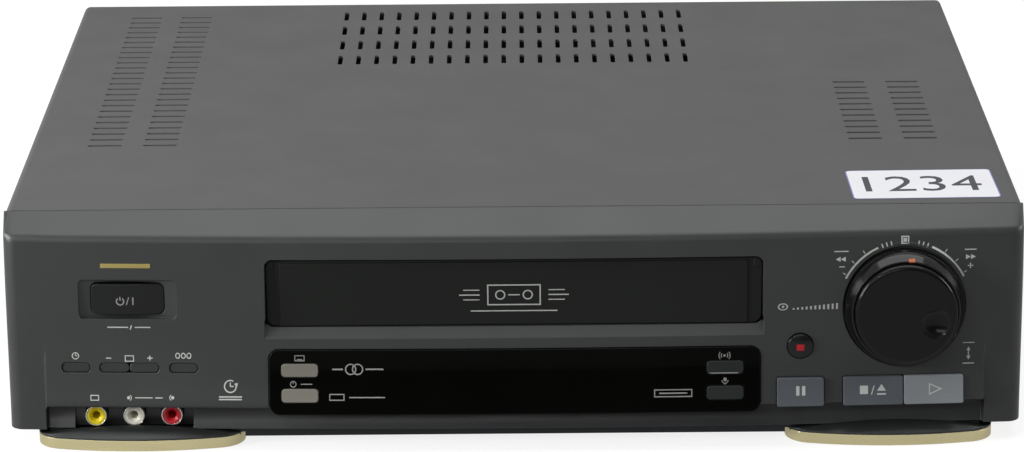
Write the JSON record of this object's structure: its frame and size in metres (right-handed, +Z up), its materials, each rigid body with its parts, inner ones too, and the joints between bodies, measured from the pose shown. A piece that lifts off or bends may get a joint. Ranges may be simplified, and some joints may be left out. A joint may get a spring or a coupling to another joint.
{
  "type": "vhs video cassette recorder",
  "caption": "Front-loading video cassette recorder with a sprung cassette flap, cassette carriage, tilted head drum, shuttle ring and jog dial, front keys, and rear sockets.",
  "frame": {"origin": "centre of the bounding box's bottom, on the table under the feet", "axes": "+X to the right seen from the front, +Y from the front to the back, +Z up; the front face looks along -Y"},
  "size_m": [0.4028, 0.3442, 0.094],
  "materials": {
    "cover_paint": "satin dark grey paint with a fine texture",
    "panel_plastic": "moulded dark grey, satin",
    "zinc_steel": "zinc-plated sheet",
    "black_plastic": "fine matt grain",
    "gloss_black": "polished",
    "window_pane": "polished dark tinted acrylic",
    "grey_key": "satin",
    "light_key": "satin warm grey",
    "band_gold": "pale gold plating",
    "nickel": "bright nickel",
    "yellow_plastic": "moulded yellow",
    "white_plastic": "moulded white",
    "red_plastic": "moulded red",
    "board_brown": "phenolic board",
    "board_green": "coated board",
    "tube_glass": "display tube",
    "cast_alloy": "turned and die cast",
    "polished_steel": "ground steel",
    "natural_plastic": "natural acetal",
    "rubber": "matt rubber"
  },
  "bodies": {
    "case": {"top_cover": "cover_paint", "front_panel": "panel_plastic", "bottom_chassis": "zinc_steel", "rear_panel": "zinc_steel", "front_feet": "black_plastic", "foot_bands": "band_gold", "rear_feet": "rubber", "cover_screws": "black_plastic", "door_spring": "polished_steel", "display_window": "window_pane", "display_tube": "tube_glass", "front_board": "board_brown", "front_jack_shells": "nickel", "jack_ring_yellow": "yellow_plastic", "jack_ring_white": "white_plastic", "jack_ring_red": "red_plastic", "video_sockets": "black_plastic", "aerial_sockets": "nickel", "rear_audio_jacks": "nickel", "mains_inlet": "black_plastic", "main_board": "board_green", "power_board": "board_brown", "deck_plate": "cast_alloy", "carriage_frame": "zinc_steel", "drum_lower": "cast_alloy", "capstan_motor": "zinc_steel", "drive_belt": "rubber", "loading_motor": "zinc_steel", "tape_heads": "cast_alloy"},
    "power_button_body": {"power_button": "gloss_black"},
    "timer_button_body": {"timer_button": "black_plastic"},
    "channel_down_button_body": {"channel_down_button": "black_plastic"},
    "channel_up_button_body": {"channel_up_button": "black_plastic"},
    "counter_reset_button_body": {"counter_reset_button": "black_plastic"},
    "picture_mode_button_body": {"picture_mode_button": "light_key"},
    "auto_timer_button_body": {"auto_timer_button": "light_key"},
    "surround_button_body": {"surround_button": "black_plastic"},
    "dub_button_body": {"dub_button": "black_plastic"},
    "record_button_body": {"record_button": "gloss_black"},
    "pause_button_body": {"pause_button": "grey_key"},
    "stop_eject_button_body": {"stop_eject_button": "grey_key"},
    "play_button_body": {"play_button": "grey_key"},
    "cassette_door_body": {"cassette_door": "black_plastic"},
    "shuttle_ring_body": {"shuttle_ring": "gloss_black"},
    "jog_dial_body": {"jog_dial": "black_plastic"},
    "loading_slider_body": {"loading_slider": "zinc_steel"},
    "cassette_holder_body": {"cassette_holder": "zinc_steel"},
    "drum_upper_body": {"drum_upper": "cast_alloy"},
    "capstan_body": {"capstan": "polished_steel"},
    "clutch_pulley_body": {"clutch_pulley": "natural_plastic"},
    "idler_arm_body": {"idler_arm": "black_plastic"},
    "idler_wheel_body": {"idler_wheel": "rubber"},
    "supply_reel_body": {"supply_reel": "black_plastic"},
    "takeup_reel_body": {"takeup_reel": "black_plastic"},
    "pinch_arm_body": {"pinch_arm": "zinc_steel"},
    "pinch_roller_body": {"pinch_roller": "rubber"},
    "guide_left_body": {"guide_left": "polished_steel"},
    "guide_right_body": {"guide_right": "polished_steel"},
    "cam_gear_body": {"cam_gear": "natural_plastic"},
    "tension_arm_body": {"tension_arm": "natural_plastic"}
  },
  "joints": [
    {"name": "door_hinge", "type": "hinge", "parent": "case", "child": "cassette_door_body", "pos_m": [0, -0.15882, 0.0763], "axis": [1, 0, 0], "range_deg": [0, 90], "stiffness_Nm_per_rad": 0.004},
    {"name": "carriage_in", "type": "slide", "parent": "case", "child": "loading_slider_body", "axis": [0, 1, 0], "range_m": [0, 0.03]},
    {"name": "carriage_drop", "type": "slide", "parent": "loading_slider_body", "child": "cassette_holder_body", "axis": [0, 0, -1], "range_m": [0, 0.019]},
    {"name": "power_press", "type": "slide", "parent": "case", "child": "power_button_body", "axis": [0, 1, 0], "range_m": [0, 0.0008], "stiffness_N_per_m": 400},
    {"name": "timer_press", "type": "slide", "parent": "case", "child": "timer_button_body", "axis": [0, 1, 0], "range_m": [0, 0.0008], "stiffness_N_per_m": 400},
    {"name": "channel_down_press", "type": "slide", "parent": "case", "child": "channel_down_button_body", "axis": [0, 1, 0], "range_m": [0, 0.0008], "stiffness_N_per_m": 400},
    {"name": "channel_up_press", "type": "slide", "parent": "case", "child": "channel_up_button_body", "axis": [0, 1, 0], "range_m": [0, 0.0008], "stiffness_N_per_m": 400},
    {"name": "counter_reset_press", "type": "slide", "parent": "case", "child": "counter_reset_button_body", "axis": [0, 1, 0], "range_m": [0, 0.0008], "stiffness_N_per_m": 400},
    {"name": "picture_mode_press", "type": "slide", "parent": "case", "child": "picture_mode_button_body", "axis": [0, 1, 0], "range_m": [0, 0.0008], "stiffness_N_per_m": 400},
    {"name": "auto_timer_press", "type": "slide", "parent": "case", "child": "auto_timer_button_body", "axis": [0, 1, 0], "range_m": [0, 0.0008], "stiffness_N_per_m": 400},
    {"name": "surround_press", "type": "slide", "parent": "case", "child": "surround_button_body", "axis": [0, 1, 0], "range_m": [0, 0.0008], "stiffness_N_per_m": 400},
    {"name": "dub_press", "type": "slide", "parent": "case", "child": "dub_button_body", "axis": [0, 1, 0], "range_m": [0, 0.0008], "stiffness_N_per_m": 400},
    {"name": "record_press", "type": "slide", "parent": "case", "child": "record_button_body", "axis": [0, 1, 0], "range_m": [0, 0.0008], "stiffness_N_per_m": 400},
    {"name": "pause_press", "type": "slide", "parent": "case", "child": "pause_button_body", "axis": [0, 1, 0], "range_m": [0, 0.0008], "stiffness_N_per_m": 400},
    {"name": "stop_eject_press", "type": "slide", "parent": "case", "child": "stop_eject_button_body", "axis": [0, 1, 0], "range_m": [0, 0.0008], "stiffness_N_per_m": 400},
    {"name": "play_press", "type": "slide", "parent": "case", "child": "play_button_body", "axis": [0, 1, 0], "range_m": [0, 0.0008], "stiffness_N_per_m": 400},
    {"name": "shuttle_turn", "type": "hinge", "parent": "case", "child": "shuttle_ring_body", "pos_m": [0.1529, -0.1611, 0.0564], "axis": [0, -1, 0], "range_deg": [-75, 75], "stiffness_Nm_per_rad": 0.02},
    {"name": "jog_spin", "type": "hinge", "parent": "case", "child": "jog_dial_body", "pos_m": [0.1529, -0.1611, 0.0564], "axis": [0, -1, 0], "continuous": true},
    {"name": "drum_spin", "type": "hinge", "parent": "case", "child": "drum_upper_body", "pos_m": [0, 0.0356, 0.0294], "axis": [0, 0.1045, 0.9945], "continuous": true},
    {"name": "capstan_spin", "type": "hinge", "parent": "case", "child": "capstan_body", "pos_m": [0.058, -0.0124, 0.03], "axis": [0, 0, 1], "continuous": true},
    {"name": "clutch_spin", "type": "hinge", "parent": "case", "child": "clutch_pulley_body", "pos_m": [0, -0.0664, 0.012], "axis": [0, 0, 1], "continuous": true},
    {"name": "idler_swing", "type": "hinge", "parent": "case", "child": "idler_arm_body", "pos_m": [0, -0.0664, 0.03], "axis": [0, 0, 1], "range_deg": [-65, 65]},
    {"name": "idler_spin", "type": "hinge", "parent": "idler_arm_body", "child": "idler_wheel_body", "pos_m": [0, -0.0494, 0.028], "axis": [0, 0, 1], "continuous": true},
    {"name": "supply_spin", "type": "hinge", "parent": "case", "child": "supply_reel_body", "pos_m": [-0.046, -0.0724, 0.03], "axis": [0, 0, 1], "continuous": true},
    {"name": "takeup_spin", "type": "hinge", "parent": "case", "child": "takeup_reel_body", "pos_m": [0.046, -0.0724, 0.03], "axis": [0, 0, 1], "continuous": true},
    {"name": "cam_turn", "type": "hinge", "parent": "case", "child": "cam_gear_body", "pos_m": [-0.08, 0.0436, 0.034], "axis": [0, 0, 1], "range_deg": [0, 150]},
    {"name": "guide_left_track", "type": "hinge", "parent": "case", "child": "guide_left_body", "pos_m": [0, 0.0356, 0.028], "axis": [0, 0, 1], "range_deg": [-70, 0]},
    {"name": "guide_right_track", "type": "hinge", "parent": "case", "child": "guide_right_body", "pos_m": [0, 0.0356, 0.028], "axis": [0, 0, 1], "range_deg": [0, 70]},
    {"name": "pinch_swing", "type": "hinge", "parent": "case", "child": "pinch_arm_body", "pos_m": [0.088, 0.0056, 0.032], "axis": [0, 0, 1], "range_deg": [0, 24.5]},
    {"name": "pinch_spin", "type": "hinge", "parent": "pinch_arm_body", "child": "pinch_roller_body", "pos_m": [0.06054, 0.00713, 0.04], "axis": [0, 0, 1], "continuous": true},
    {"name": "tension_swing", "type": "hinge", "parent": "case", "child": "tension_arm_body", "pos_m": [-0.072, -0.0304, 0.031], "axis": [0, 0, 1], "range_deg": [-15, 15], "stiffness_Nm_per_rad": 0.01}
  ],
  "couplings": [
    {"joint": "clutch_spin", "follows": "capstan_spin", "ratio": 0.46667},
    {"joint": "guide_left_track", "follows": "cam_turn", "ratio": -0.4666},
    {"joint": "guide_right_track", "follows": "cam_turn", "ratio": 0.4666},
    {"joint": "pinch_swing", "follows": "cam_turn", "ratio": 0.1633}
  ]
}
